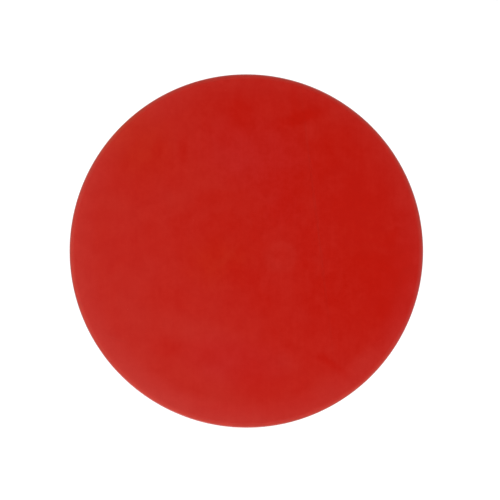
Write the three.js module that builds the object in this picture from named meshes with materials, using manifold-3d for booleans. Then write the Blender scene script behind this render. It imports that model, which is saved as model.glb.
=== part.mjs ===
// An ice stock, the Bavarian form of the curling stone, with an exchangeable rubber running sole.
// Millimetres, +Z up. The origin is the centre of the running face, which lies on the ice at z = 0.
// The handle's tie bolt runs down through the stock body and screws into the sole, so that turning
// the handle clamps the sole or lets it go.
import * as THREE from "three";
import { mergeVertices } from "three/addons/utils/BufferGeometryUtils.js";
import Module from "manifold-3d";

const wasm = await Module();
wasm.setup();

// ---- Driving dimensions ----

const GAP = 0.3; // room between two pieces that rest on each other
const ROUND_STEPS = 40; // facets round the large turned pieces
const SMALL_STEPS = 24; // facets round the handle's pieces
const SCREW_STEPS = 12;

const SOLE_RADIUS = 135.5;
const FACING_TOP = 8.7;
const CROWN_START = 117; // outside this radius the running face rises gently to its rim
const CROWN_RISE = 0.9;
const RIM_ROUNDING = 4.2;
const CARRIER_RADIUS = 134;
const CARRIER_BOTTOM = FACING_TOP + GAP;
const CARRIER_FLOOR = 15; // floor of the pockets between the carrier's ribs
const CARRIER_TOP = 23.7;
const SPIGOT_RADIUS = 40; // raised hub that centres the sole in the stock body
const SPIGOT_TOP = CARRIER_TOP + 1.5;
const LUG_CIRCLE = 82; // three lugs stop the sole from turning under the body
const LUG_RADIUS = 4;
const LUG_TOP = CARRIER_TOP + 3;

const BASE_BOTTOM = CARRIER_TOP + GAP;
const BASE_FLANGE_RADIUS = 133;
const BASE_FLANGE_TOP = 28;
const BASE_TOP = 31;
const CORE_RADIUS = 124; // the core that the dampers and the steel ring surround
const RING_RADIUS = 137.5;
const RING_INNER_RADIUS = 129.8;
const RING_BOTTOM = 30.6;
const RING_TOP = 59.4;
const DAMPER_LIP = 2; // thickness of the rubber under and over the steel ring

const SHELL_BOTTOM = BASE_TOP + GAP;
const SHELL_FLANGE_BOTTOM = RING_TOP + DAMPER_LIP + 2 * GAP;
const SHELL_FLANGE_RADIUS = 134;
const HUB_RADIUS = 35;
const HUB_TOP = 92.7;
const SCREW_CIRCLE = 100; // the screws that hold the shell on the base
const SHELL_SCREWS = 6;
const SHELL_RIBS = 12;

const BOLT_RADIUS = 7; // M14 tie bolt, pitch 2
const THREAD_LENGTH = 12; // what the bolt holds in the sole: six turns
const INSERT_TOP = SPIGOT_TOP - 0.2;
const BOLT_TIP = INSERT_TOP - THREAD_LENGTH;
const BOLT_HEAD_FLATS = 21;
const BOLT_HEAD_HEIGHT = 8.8;
const SLEEVE_RADIUS = 12;
const SLEEVE_TOP = 96.5;

const WASHER_THICKNESS = 1.6;
const FOOT_BOTTOM = SLEEVE_TOP + 2 * GAP + WASHER_THICKNESS;
const FOOT_TOP = 140;
const FOOT_FLATS = 43; // spanner flats round the foot's flange
const POCKET_BOTTOM = FOOT_BOTTOM + 5.7; // hexagon pocket that turns the bolt's head
const TUBE_RADIUS = 12.5;
const TUBE_BORE_RADIUS = 10.5;
const TUBE_BOTTOM = 114;
const BEND_START = 185;
const BEND_RADIUS = 120;
const BEND_ANGLE = THREE.MathUtils.degToRad(18);
const GRIP_LENGTH = 100;
const GRIP_RADIUS = 16.5;
const PIN_HEIGHT = 128;

// ---- Materials ----

function finish(color, roughness, metalness) {
  return new THREE.MeshStandardMaterial({ color, roughness, metalness });
}

const redRubber = finish(0xbc2317, 0.55, 0);
const blackRubber = finish(0x1a1a1b, 0.8, 0);
const blackPlastic = finish(0x202224, 0.5, 0);
const shellPlastic = finish(0x34383d, 0.42, 0);
const steel = finish(0xb4b6b8, 0.3, 1);
const brass = finish(0xb08d4a, 0.35, 1);
const aluminium = finish(0xc4c6c8, 0.35, 1);

// ---- Shapes ----

// The points of an outline given as corners [x, y, rounding]. A rounded corner becomes an arc.
function outlineOf(corners, arcSteps) {
  const points = [];
  corners.forEach(([x, y, rounding = 0], i) => {
    const corner = new THREE.Vector2(x, y);
    if (!rounding) {
      points.push(corner);
      return;
    }
    const before = corners.at(i - 1);
    const after = corners[(i + 1) % corners.length];
    const back = new THREE.Vector2(before[0], before[1]).sub(corner).normalize();
    const ahead = new THREE.Vector2(after[0], after[1]).sub(corner).normalize();
    const half = Math.acos(THREE.MathUtils.clamp(back.dot(ahead), -1, 1)) / 2;
    const centre = back.clone().add(ahead).normalize();
    centre.multiplyScalar(rounding / Math.sin(half)).add(corner);
    const reach = rounding / Math.tan(half);
    const start = back.multiplyScalar(reach).add(corner).sub(centre).angle();
    const end = ahead.multiplyScalar(reach).add(corner).sub(centre).angle();
    const sweep = THREE.MathUtils.euclideanModulo(end - start + Math.PI, 2 * Math.PI) - Math.PI;
    for (let k = 0; k <= arcSteps; k++) {
      const angle = start + (sweep * k) / arcSteps;
      points.push(
        new THREE.Vector2(Math.cos(angle), Math.sin(angle)).multiplyScalar(rounding).add(centre),
      );
    }
  });
  return points;
}

// A piece turned on the Z axis from corners [radius, height, rounding].
// Its outline starts and ends on the axis, or goes right round a hollow middle.
function turned(corners, steps = ROUND_STEPS, arcSteps = 2) {
  const outline = outlineOf(corners, arcSteps);
  if (THREE.ShapeUtils.area(outline) < 0) outline.reverse();
  const onAxis = outline.findIndex((p, i) => p.x === 0 && outline.at(i - 1).x === 0);
  const started = onAxis < 0 ? outline : [...outline.slice(onAxis), ...outline.slice(0, onAxis)];
  if (onAxis < 0) started.push(started[0].clone());
  return new THREE.LatheGeometry(started, steps).rotateX(Math.PI / 2);
}

function cylinder(radius, bottom, top, steps = SCREW_STEPS) {
  return new THREE.CylinderGeometry(radius, radius, top - bottom, steps)
    .rotateX(Math.PI / 2)
    .translate(0, 0, (bottom + top) / 2);
}

// A hexagonal prism on the Z axis, measured across its flats.
function hexagon(flats, bottom, top) {
  return cylinder(flats / Math.sqrt(3), bottom, top, 6);
}

// A flat web in the plane through the Z axis and X, from corners [radius, height].
function web(corners, thickness) {
  const side = new THREE.Shape(corners.map(([r, z]) => new THREE.Vector2(r, z)));
  return new THREE.ExtrudeGeometry(side, { depth: thickness, bevelEnabled: false })
    .translate(0, 0, -thickness / 2)
    .rotateX(Math.PI / 2);
}

// Copies of a geometry spread evenly round the Z axis, the first one at the start angle.
function around(count, geometry, start = 0) {
  return Array.from({ length: count }, (_, i) =>
    geometry.clone().rotateZ(start + (2 * Math.PI * i) / count),
  );
}

function solidOf(geometry) {
  const bare = new THREE.BufferGeometry().setAttribute("position", geometry.getAttribute("position"));
  if (geometry.index) bare.setIndex(geometry.index);
  const merged = mergeVertices(bare, 1e-4);
  return new wasm.Manifold(
    new wasm.Mesh({
      numProp: 3,
      vertProperties: merged.getAttribute("position").array,
      triVerts: new Uint32Array(merged.index.array),
    }),
  );
}

// A geometry with others joined to it and then others cut out of it.
function shaped(geometry, { add = [], cut = [] }) {
  let solid = solidOf(geometry);
  for (const other of add) solid = solid.add(solidOf(other));
  for (const other of cut) solid = solid.subtract(solidOf(other));
  const mesh = solid.getMesh();
  return new THREE.BufferGeometry()
    .setAttribute("position", new THREE.BufferAttribute(mesh.vertProperties, 3))
    .setIndex(new THREE.BufferAttribute(mesh.triVerts, 1));
}

function piece(name, geometry, material) {
  const mesh = new THREE.Mesh(geometry, material);
  mesh.name = name;
  return mesh;
}

// ---- Fasteners ----

// A countersunk screw along Z, its flat head at the bottom, with a hexagon socket.
function countersunkScrew({ head, shank, bottom, top, socket }) {
  const underHead = bottom + head - shank;
  const body = turned(
    [
      [0, bottom],
      [head, bottom],
      [head, bottom + 0.4],
      [shank, underHead + 0.4],
      [shank, top - 0.8],
      [shank - 0.6, top],
      [0, top],
    ],
    SCREW_STEPS,
  );
  return shaped(body, { cut: [hexagon(socket, bottom - 1, bottom + 1.4)] });
}

// The hole for such a screw, with GAP round it.
function countersunkHole({ head, shank, bottom, top }) {
  const wide = head + GAP;
  const narrow = shank + GAP;
  return turned(
    [
      [0, bottom - 5],
      [wide, bottom - 5],
      [wide, bottom + 0.4],
      [narrow, bottom + 0.4 + wide - narrow],
      [narrow, top + GAP],
      [0, top + GAP],
    ],
    SCREW_STEPS,
  );
}

const INSERT_SCREW = { head: 3.8, shank: 1.8, bottom: CARRIER_BOTTOM + 0.4, top: 20, socket: 2.5 };
const SHELL_SCREW = { head: 5.4, shank: 2.5, bottom: BASE_BOTTOM + 0.3, top: 50, socket: 4 };

// ---- Running sole ----

const INSERT_FLANGE_RADIUS = 23;
const INSERT_BARREL_RADIUS = 13;
const INSERT_FLANGE_TOP = 12;
const INSERT_SCREWS = 4;
const INSERT_SCREW_CIRCLE = 18;

function runningFacing() {
  return turned([
    [0, 0],
    [CROWN_START, 0, 120],
    [SOLE_RADIUS, CROWN_RISE, RIM_ROUNDING],
    [SOLE_RADIUS, FACING_TOP, 1],
    [0, FACING_TOP],
  ]);
}

function soleCarrier() {
  const plate = turned([
    [INSERT_BARREL_RADIUS + GAP, INSERT_FLANGE_TOP + GAP],
    [INSERT_FLANGE_RADIUS + GAP, INSERT_FLANGE_TOP + GAP],
    [INSERT_FLANGE_RADIUS + GAP, CARRIER_BOTTOM],
    [CARRIER_RADIUS, CARRIER_BOTTOM, 0.8],
    [CARRIER_RADIUS, CARRIER_TOP, 1.2],
    [121, CARRIER_TOP],
    [119, CARRIER_FLOOR],
    [46, CARRIER_FLOOR],
    [SPIGOT_RADIUS + 4, CARRIER_TOP],
    [SPIGOT_RADIUS, CARRIER_TOP],
    [SPIGOT_RADIUS - 0.8, SPIGOT_TOP],
    [INSERT_BARREL_RADIUS + GAP, SPIGOT_TOP],
  ]);
  const rib = web(
    [
      [42, CARRIER_FLOOR - 1],
      [122, CARRIER_FLOOR - 1],
      [122, CARRIER_TOP],
      [42, CARRIER_TOP],
    ],
    3,
  );
  const boss = cylinder(8, CARRIER_FLOOR - 1, CARRIER_TOP).translate(LUG_CIRCLE, 0, 0);
  const lug = cylinder(LUG_RADIUS, CARRIER_FLOOR, LUG_TOP).translate(LUG_CIRCLE, 0, 0);
  const hole = countersunkHole(INSERT_SCREW).translate(INSERT_SCREW_CIRCLE, 0, 0);
  return shaped(plate, {
    add: [...around(12, rib), ...around(3, boss), ...around(3, lug)],
    cut: around(INSERT_SCREWS, hole, Math.PI / 4),
  });
}

function soleInsert() {
  const bush = turned(
    [
      [BOLT_RADIUS + GAP, CARRIER_BOTTOM + GAP],
      [INSERT_FLANGE_RADIUS, CARRIER_BOTTOM + GAP],
      [INSERT_FLANGE_RADIUS, INSERT_FLANGE_TOP],
      [INSERT_BARREL_RADIUS, INSERT_FLANGE_TOP],
      [INSERT_BARREL_RADIUS, INSERT_TOP],
      [BOLT_RADIUS + GAP + 1, INSERT_TOP],
      [BOLT_RADIUS + GAP, INSERT_TOP - 1],
    ],
    SMALL_STEPS,
  );
  const hole = countersunkHole(INSERT_SCREW).translate(INSERT_SCREW_CIRCLE, 0, 0);
  return shaped(bush, { cut: around(INSERT_SCREWS, hole, Math.PI / 4) });
}

function buildSole() {
  const sole = new THREE.Group();
  sole.add(piece("running_facing", runningFacing(), redRubber));
  sole.add(piece("sole_carrier", soleCarrier(), blackPlastic));
  sole.add(piece("sole_insert", soleInsert(), brass));
  const screw = countersunkScrew(INSERT_SCREW).translate(INSERT_SCREW_CIRCLE, 0, 0);
  around(INSERT_SCREWS, screw, Math.PI / 4).forEach((geometry, i) =>
    sole.add(piece(`insert_screw_${i + 1}`, geometry, steel)),
  );
  return sole;
}

// ---- Stock body ----

function bodyBase() {
  const plate = turned([
    [SLEEVE_RADIUS + GAP, SPIGOT_TOP + GAP],
    [SPIGOT_RADIUS + GAP, SPIGOT_TOP + GAP],
    [SPIGOT_RADIUS + GAP, BASE_BOTTOM],
    [BASE_FLANGE_RADIUS, BASE_BOTTOM, 0.8],
    [BASE_FLANGE_RADIUS, BASE_FLANGE_TOP, 0.8],
    [CORE_RADIUS, BASE_FLANGE_TOP],
    [CORE_RADIUS, BASE_TOP],
    [SLEEVE_RADIUS + GAP, BASE_TOP],
  ]);
  const pocket = cylinder(LUG_RADIUS + GAP, BASE_BOTTOM - 1, LUG_TOP + GAP);
  const hole = countersunkHole(SHELL_SCREW).translate(SCREW_CIRCLE, 0, 0);
  return shaped(plate, {
    cut: [...around(3, pocket.translate(LUG_CIRCLE, 0, 0)), ...around(SHELL_SCREWS, hole)],
  });
}

function steelRing() {
  return turned([
    [RING_INNER_RADIUS, RING_BOTTOM],
    [RING_RADIUS - 1.2, RING_BOTTOM, 1.6],
    [RING_RADIUS, RING_BOTTOM + 6],
    [RING_RADIUS, RING_TOP - 6],
    [RING_RADIUS - 1.2, RING_TOP, 1.6],
    [RING_INNER_RADIUS, RING_TOP],
  ]);
}

// A rubber ring with a lip between the steel ring and a flange, and a leg behind the steel ring.
// It is drawn for the lower flange, and side = -1 turns it over for the upper one.
function ringDamper(side) {
  const middle = (RING_BOTTOM + RING_TOP) / 2;
  const height = (z) => middle + side * (z - middle);
  const lipBottom = RING_BOTTOM - GAP - DAMPER_LIP;
  const lipTop = RING_BOTTOM - GAP;
  const legTop = middle - 1.2;
  return turned([
    [CORE_RADIUS + GAP, height(lipBottom)],
    [RING_RADIUS - 2.4, height(lipBottom)],
    [RING_RADIUS - 1.9, height((lipBottom + lipTop) / 2)],
    [RING_RADIUS - 2.4, height(lipTop)],
    [RING_INNER_RADIUS - GAP, height(lipTop)],
    [RING_INNER_RADIUS - GAP, height(legTop)],
    [CORE_RADIUS + GAP, height(legTop)],
  ]);
}

function bodyShell() {
  const dome = turned([
    [SLEEVE_RADIUS + GAP, SHELL_BOTTOM],
    [20, SHELL_BOTTOM],
    [20, 82],
    [34, 82],
    [50, 75],
    [112, 65.5],
    [118, 62],
    [118, SHELL_BOTTOM],
    [CORE_RADIUS, SHELL_BOTTOM],
    [CORE_RADIUS, SHELL_FLANGE_BOTTOM],
    [SHELL_FLANGE_RADIUS, SHELL_FLANGE_BOTTOM, 0.8],
    [SHELL_FLANGE_RADIUS, 66, 3],
    [112, 71.5, 40],
    [54, 80, 30],
    [HUB_RADIUS + 2, HUB_TOP - 2, 3],
    [HUB_RADIUS, HUB_TOP, 1],
    [SLEEVE_RADIUS + GAP, HUB_TOP],
  ]);
  const innerWeb = web(
    [
      [19, 44],
      [119, 44],
      [119, 61],
      [112, 67],
      [50, 77],
      [34, 84],
      [19, 84],
    ],
    3,
  );
  const outerRib = web(
    [
      [42, 80],
      [118, 66],
      [123, 68.4],
      [112, 74.4],
      [54, 83.2],
      [42, 89],
    ],
    5,
  );
  const boss = cylinder(6.5, SHELL_BOTTOM, 69).translate(SCREW_CIRCLE, 0, 0);
  const hole = cylinder(SHELL_SCREW.shank + GAP, SHELL_BOTTOM - 1, SHELL_SCREW.top + 1);
  return shaped(dome, {
    add: [
      ...around(SHELL_SCREWS, innerWeb),
      ...around(SHELL_SCREWS, boss),
      ...around(SHELL_RIBS, outerRib, Math.PI / SHELL_RIBS),
    ],
    cut: around(SHELL_SCREWS, hole.translate(SCREW_CIRCLE, 0, 0)),
  });
}

function hubSleeve() {
  return turned(
    [
      [BOLT_RADIUS + 2 * GAP, SPIGOT_TOP + GAP],
      [SLEEVE_RADIUS, SPIGOT_TOP + GAP],
      [SLEEVE_RADIUS, HUB_TOP + GAP],
      [22, HUB_TOP + GAP],
      [22, SLEEVE_TOP, 0.8],
      [BOLT_RADIUS + 2 * GAP, SLEEVE_TOP],
    ],
    SMALL_STEPS,
  );
}

function buildBody() {
  const body = new THREE.Group();
  body.add(piece("body_base", bodyBase(), blackPlastic));
  body.add(piece("lower_damper", ringDamper(1), blackRubber));
  body.add(piece("steel_ring", steelRing(), steel));
  body.add(piece("upper_damper", ringDamper(-1), blackRubber));
  body.add(piece("body_shell", bodyShell(), shellPlastic));
  body.add(piece("hub_sleeve", hubSleeve(), steel));
  const screw = countersunkScrew(SHELL_SCREW).translate(SCREW_CIRCLE, 0, 0);
  around(SHELL_SCREWS, screw).forEach((geometry, i) =>
    body.add(piece(`shell_screw_${i + 1}`, geometry, steel)),
  );
  return body;
}

// ---- Handle ----

function frictionWasher() {
  return turned(
    [
      [BOLT_RADIUS + 2 * GAP, SLEEVE_TOP + GAP],
      [21, SLEEVE_TOP + GAP],
      [21, SLEEVE_TOP + GAP + WASHER_THICKNESS],
      [BOLT_RADIUS + 2 * GAP, SLEEVE_TOP + GAP + WASHER_THICKNESS],
    ],
    SMALL_STEPS,
  );
}

function crossHole(radius, reach) {
  return cylinder(radius, -reach, reach).rotateX(Math.PI / 2).translate(0, 0, PIN_HEIGHT);
}

function handleFoot() {
  const cone = turned(
    [
      [BOLT_RADIUS + 2 * GAP, FOOT_BOTTOM],
      [20.5, FOOT_BOTTOM],
      [20.5, FOOT_BOTTOM + 9, 5],
      [16.6, FOOT_TOP, 1.5],
      [TUBE_RADIUS + GAP, FOOT_TOP],
      [TUBE_RADIUS + GAP, TUBE_BOTTOM - GAP],
      [BOLT_RADIUS + 2 * GAP, TUBE_BOTTOM - GAP],
    ],
    SMALL_STEPS,
  );
  const flange = hexagon(FOOT_FLATS, FOOT_BOTTOM, FOOT_BOTTOM + 6);
  const bore = cylinder(BOLT_RADIUS + 2 * GAP, FOOT_BOTTOM - 1, FOOT_BOTTOM + 8, SMALL_STEPS);
  const pocket = hexagon(BOLT_HEAD_FLATS + 2 * GAP, POCKET_BOTTOM, TUBE_BOTTOM);
  return shaped(cone, { add: [flange], cut: [bore, pocket, crossHole(2.8, 30)] });
}

function tieBolt() {
  const headBottom = POCKET_BOTTOM + GAP;
  const shank = turned(
    [
      [0, BOLT_TIP],
      [BOLT_RADIUS - 1, BOLT_TIP],
      [BOLT_RADIUS, BOLT_TIP + 1],
      [BOLT_RADIUS, headBottom + 1],
      [0, headBottom + 1],
    ],
    SMALL_STEPS,
  );
  return shaped(shank, { add: [hexagon(BOLT_HEAD_FLATS, headBottom, headBottom + BOLT_HEAD_HEIGHT)] });
}

// The handle's centreline: straight up, a bend towards +X, and the leaning length under the grip.
const LEAN = new THREE.Vector3(Math.sin(BEND_ANGLE), 0, Math.cos(BEND_ANGLE));
const BEND_REACH = BEND_RADIUS * Math.tan(BEND_ANGLE / 2);
const BEND_CORNER = new THREE.Vector3(0, 0, BEND_START + BEND_REACH);
const BEND_END = BEND_CORNER.clone().addScaledVector(LEAN, BEND_REACH);

function handleLine() {
  const bottom = new THREE.Vector3(0, 0, TUBE_BOTTOM);
  const bendStart = new THREE.Vector3(0, 0, BEND_START);
  const line = new THREE.CurvePath();
  line.add(new THREE.LineCurve3(bottom, bendStart));
  line.add(new THREE.QuadraticBezierCurve3(bendStart, BEND_CORNER, BEND_END));
  line.add(new THREE.LineCurve3(BEND_END, BEND_END.clone().addScaledVector(LEAN, GRIP_LENGTH)));
  return line;
}

function handleTube() {
  const section = new THREE.Shape().absarc(0, 0, TUBE_RADIUS, 0, 2 * Math.PI);
  section.holes.push(new THREE.Path().absarc(0, 0, TUBE_BORE_RADIUS, 0, 2 * Math.PI));
  const tube = new THREE.ExtrudeGeometry(section, {
    steps: 12,
    curveSegments: SMALL_STEPS / 2,
    extrudePath: handleLine(),
  });
  return shaped(tube, { cut: [crossHole(2.8, 30)] });
}

function gripCollar() {
  return turned(
    [
      [TUBE_RADIUS + GAP, 0.5],
      [14.6, 0.5, 1],
      [15.6, 6.5, 0.8],
      [TUBE_RADIUS + GAP, 6.5],
    ],
    SMALL_STEPS,
  );
}

// A rubber sleeve with ring grooves at even spaces.
function gripSleeve() {
  const bottom = 6.5 + GAP;
  const top = GRIP_LENGTH + 2;
  const grooves = 6;
  const space = (top - bottom) / (grooves + 1);
  const corners = [
    [TUBE_RADIUS + GAP, bottom],
    [GRIP_RADIUS - 0.5, bottom, 0.8],
  ];
  for (let i = 1; i <= grooves; i++) {
    const middle = bottom + i * space;
    corners.push([GRIP_RADIUS, middle - 2], [GRIP_RADIUS - 1.4, middle], [GRIP_RADIUS, middle + 2]);
  }
  corners.push([GRIP_RADIUS + 0.3, top, 0.8], [TUBE_RADIUS + GAP, top]);
  return turned(corners, SMALL_STEPS);
}

const KNOB_BOTTOM = GRIP_LENGTH + 2 + GAP;
const KNOB_TOP = KNOB_BOTTOM + 15;
const KNOB_SCREW = { head: 4.5, shank: 2.4, headBottom: KNOB_TOP - 6, tip: GRIP_LENGTH - 16 };

// A plug pressed into the tube's end, which takes the knob's screw.
function endPlug() {
  return turned(
    [
      [KNOB_SCREW.shank + GAP, GRIP_LENGTH - 20],
      [TUBE_BORE_RADIUS - GAP, GRIP_LENGTH - 20, 1],
      [TUBE_BORE_RADIUS - GAP, GRIP_LENGTH + GAP],
      [TUBE_RADIUS, GRIP_LENGTH + GAP],
      [TUBE_RADIUS, GRIP_LENGTH + 1.8],
      [KNOB_SCREW.shank + GAP, GRIP_LENGTH + 1.8],
    ],
    SMALL_STEPS,
  );
}

function endKnob() {
  return turned(
    [
      [KNOB_SCREW.shank + GAP, KNOB_BOTTOM],
      [GRIP_RADIUS + 0.3, KNOB_BOTTOM, 0.8],
      [GRIP_RADIUS + 2.5, KNOB_BOTTOM + 5.5, 4],
      [12, KNOB_TOP, 7],
      [KNOB_SCREW.head + GAP, KNOB_TOP],
      [KNOB_SCREW.head + GAP, KNOB_SCREW.headBottom - GAP],
      [KNOB_SCREW.shank + GAP, KNOB_SCREW.headBottom - GAP],
    ],
    SMALL_STEPS,
    4,
  );
}

function knobScrew() {
  const { head, shank, headBottom, tip } = KNOB_SCREW;
  const body = turned(
    [
      [0, tip],
      [shank - 0.6, tip],
      [shank, tip + 0.8],
      [shank, headBottom],
      [head, headBottom],
      [head, headBottom + 4, 0.5],
      [0, headBottom + 4],
    ],
    SCREW_STEPS,
  );
  return shaped(body, { cut: [hexagon(4, headBottom + 1.8, headBottom + 5)] });
}

function buildHandle() {
  const handle = new THREE.Group();
  handle.add(piece("friction_washer", frictionWasher(), blackRubber));
  handle.add(piece("handle_foot", handleFoot(), aluminium));
  handle.add(piece("tie_bolt", tieBolt(), steel));
  handle.add(piece("handle_tube", handleTube(), aluminium));
  handle.add(piece("cross_pin", crossHole(2.5, 17), steel));

  // The pieces on the leaning length stand in a group with its own Z axis along the tube.
  const leaning = new THREE.Group();
  leaning.position.copy(BEND_END);
  leaning.rotation.y = BEND_ANGLE;
  leaning.add(piece("grip_collar", gripCollar(), aluminium));
  leaning.add(piece("grip_sleeve", gripSleeve(), blackRubber));
  leaning.add(piece("end_plug", endPlug(), blackPlastic));
  leaning.add(piece("end_knob", endKnob(), redRubber));
  leaning.add(piece("knob_screw", knobScrew(), steel));
  handle.add(leaning);
  return handle;
}

// ---- The whole stock ----

const iceStock = new THREE.Group();
iceStock.add(buildSole(), buildBody(), buildHandle());

export default iceStock;
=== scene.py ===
"""The looks of an ice stock: a round stock body with a steel ring, standing on a red rubber running
sole, with a bent handle whose bolt holds the sole on.

The camera stands under the floor and looks straight up at the running face through a round hole
that the sole just fills, as if the stone stood on a sheet of glass. From any other side the stone
stands on the same floor. Pieces and materials are drawn in millimetres. The floor, the lights and
the camera are placed in metres.
"""

import math

import bmesh
import bpy
from mathutils import Matrix, Vector


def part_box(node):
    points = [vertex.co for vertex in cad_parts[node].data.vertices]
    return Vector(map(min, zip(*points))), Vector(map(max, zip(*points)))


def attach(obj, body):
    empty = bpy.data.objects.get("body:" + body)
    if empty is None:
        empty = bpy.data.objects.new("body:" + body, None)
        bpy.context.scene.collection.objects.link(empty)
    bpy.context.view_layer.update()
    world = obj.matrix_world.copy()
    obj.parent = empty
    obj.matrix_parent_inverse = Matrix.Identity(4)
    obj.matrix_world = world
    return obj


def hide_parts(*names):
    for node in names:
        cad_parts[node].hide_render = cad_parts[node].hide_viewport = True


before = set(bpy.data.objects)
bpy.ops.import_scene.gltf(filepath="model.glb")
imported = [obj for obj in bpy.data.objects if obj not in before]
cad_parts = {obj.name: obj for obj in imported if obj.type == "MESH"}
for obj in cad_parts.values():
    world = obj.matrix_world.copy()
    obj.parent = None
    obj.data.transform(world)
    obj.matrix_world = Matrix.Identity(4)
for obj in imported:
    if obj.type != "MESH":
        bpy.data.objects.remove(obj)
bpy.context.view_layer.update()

MM = 0.001
SHARP_ANGLE = math.radians(32)


# ---- Sizes, in millimetres ----


def low(node):
    """The height of a CAD node's lowest point."""
    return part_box(node)[0].z / MM


def high(node):
    """The height of a CAD node's highest point."""
    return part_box(node)[1].z / MM


def reach(node):
    """How far a turned CAD node reaches from the Z axis."""
    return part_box(node)[1].x / MM


GAP = 0.3  # room between two pieces that rest on each other

SOLE_RADIUS = reach("running_facing")
CROWN_START = 117  # outside this radius the running face rises gently to its rim
CROWN_RISE = 0.9
CROWN_ROUNDING = 120
RIM_ROUNDING = 4.2

CARRIER_RADIUS = reach("sole_carrier")
CARRIER_TOP = low("body_base") - GAP
CARRIER_GROOVE = 16.3  # height of the groove round the carrier's rim
POCKET_FLOOR = 15  # the carrier is hollowed out from above, down to this height
POCKET_INSIDE = 45
POCKET_OUTSIDE = 120
CARRIER_RIBS = 12
CARRIER_RIB_WIDTH = 3
SPIGOT_RADIUS = 40  # the raised middle that centres the sole in the stock body
SPIGOT_RISE = 1.5
SPIGOT_TOP = CARRIER_TOP + SPIGOT_RISE
LUGS = 3  # pegs that stop the sole from turning under the body
LUG_CIRCLE = 82
LUG_RADIUS = 4
BOSS_RADIUS = 8
INSERT_BARREL_RADIUS = 13
INSERT_FLANGE_TOP = 12
INSERT_SCREWS = 4

BASE_RADIUS = reach("body_base")
BASE_TOP = high("body_base")
BASE_FLANGE_TOP = 28
CORE_RADIUS = 124  # the core that the dampers and the steel ring surround
SHELL_SCREWS = 6
SCREW_CIRCLE = 100
SCREW_HOLE_RADIUS = 5.7
SCREW_HOLE_DEPTH = 3.6

DAMPER_RADIUS = 135.5
DAMPER_LIP = 2  # thickness of the rubber under and over the steel ring
RING_RADIUS = reach("steel_ring")
RING_INNER_RADIUS = 129.8
RING_MIDDLE = 45

SHELL_RADIUS = reach("body_shell")
SHELL_TOP = high("body_shell")
SHELL_INSIDE_RADIUS = 118
SHELL_FLANGE = 4  # height of the straight rim under the dome
DOME_EDGE = 112  # radius where the dome bends down to that rim
DOME_FOOT = 54  # radius where the dome bends up to its hub
HUB_RADIUS = 35
SHELL_RIBS = 12
RIB_HEIGHT = 2.6
RIB_START = (40, 52)  # a rib rises between these radii and sinks again between the next two
RIB_END = (114, 123)
RIB_FLANK = (1.5, 3.9)  # and falls away between these distances beside its middle

BOLT_RADIUS = 7
BOLT_BORE = BOLT_RADIUS + 2 * GAP
BOLT_HEAD_FLATS = 21
SLEEVE_RADIUS = 12
SLEEVE_FLANGE = 3.5
FOOT_FLATS = 43
FOOT_FLANGE = 6
POCKET_RISE = 5.7  # height of the bolt head's pocket over the bottom of the foot
PIN_RADIUS = 2.5
PIN_HEIGHT = 128

TUBE_RADIUS = 12.5
TUBE_BORE_RADIUS = 10.5
TUBE_BOTTOM = low("handle_tube")
BEND_START = 185
BEND_RADIUS = 120
BEND_ANGLE = math.radians(18)
GRIP_LENGTH = 100

# The grip's heights count from the end of the bend, along the leaning length of the tube.
COLLAR_BOTTOM = 0.5
COLLAR_TOP = 6.5
GRIP_RADIUS = 16.5
GRIP_BOTTOM = COLLAR_TOP + GAP
GRIP_TOP = GRIP_LENGTH + 2
GRIP_BANDS = 7
GROOVE_DEPTH = 1.4
PIPS_ROUND = 22
PIP_ROWS = (-2.6, 0, 2.6)
# How far each outline of a diamond stands out of the grip, and its half width and half height.
PIP_PROFILE = ((-0.8, 2.15, 2.2), (-0.2, 2.15, 2.2), (0.35, 1.75, 1.8), (0.55, 1.4, 1.45))
PIP_BLUNT = 0.14  # half the width of a diamond's blunt corners, as a share of its half width
KNOB_BOTTOM = GRIP_TOP + GAP
KNOB_TOP = KNOB_BOTTOM + 15
KNOB_SCREW_RADIUS = 2.4
KNOB_SCREW_BOTTOM = GRIP_LENGTH - 16
KNOB_HEAD_RADIUS = 4.5
KNOB_HEAD_BOTTOM = KNOB_TOP - 6
KNOB_HEAD_TOP = KNOB_HEAD_BOTTOM + 4

LEAN = Vector((math.sin(BEND_ANGLE), 0, math.cos(BEND_ANGLE)))
BEND_REACH = BEND_RADIUS * math.tan(BEND_ANGLE / 2)
BEND_END = Vector((0, 0, BEND_START + BEND_REACH)) + LEAN * BEND_REACH

LEANING = Matrix.Translation(BEND_END) @ Matrix.Rotation(BEND_ANGLE, 4, "Y")
CROSSWISE = Matrix.Translation((0, 0, PIN_HEIGHT)) @ Matrix.Rotation(math.pi / 2, 4, "X")


# ---- Mesh making ----


def rounded(corners, steps=8):
    """An outline from corners (x, y) or (x, y, rounding), with every rounding drawn as an arc."""
    points = []
    for i, corner in enumerate(corners):
        at = Vector(corner[:2])
        if len(corner) == 2:
            points.append(at)
            continue
        rounding = corner[2]
        back = (Vector(corners[i - 1][:2]) - at).normalized()
        ahead = (Vector(corners[(i + 1) % len(corners)][:2]) - at).normalized()
        half = back.angle(ahead) / 2
        centre = at + (back + ahead).normalized() * (rounding / math.sin(half))
        touch = rounding / math.tan(half)
        start = at + back * touch - centre
        end = at + ahead * touch - centre
        points += [centre + start.slerp(end, k / steps) * rounding for k in range(steps + 1)]
    return points


def circle(radius, count=32, turn=0.0):
    """The points of a circle, or of a polygon with that many corners."""
    angles = [turn + 2 * math.pi * k / count for k in range(count)]
    return [(radius * math.cos(angle), radius * math.sin(angle)) for angle in angles]


def hexagon(flats):
    """The corners of a hexagon of that size across its flats."""
    return circle(flats / math.sqrt(3), 6, math.pi / 6)


def fill_mesh(mesh, bm):
    """Puts the bmesh into the mesh, with smooth faces and its real edges kept sharp."""
    bm.to_mesh(mesh)
    bm.free()
    mesh.shade_smooth()
    mesh.set_sharp_from_angle(angle=SHARP_ANGLE)


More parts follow.
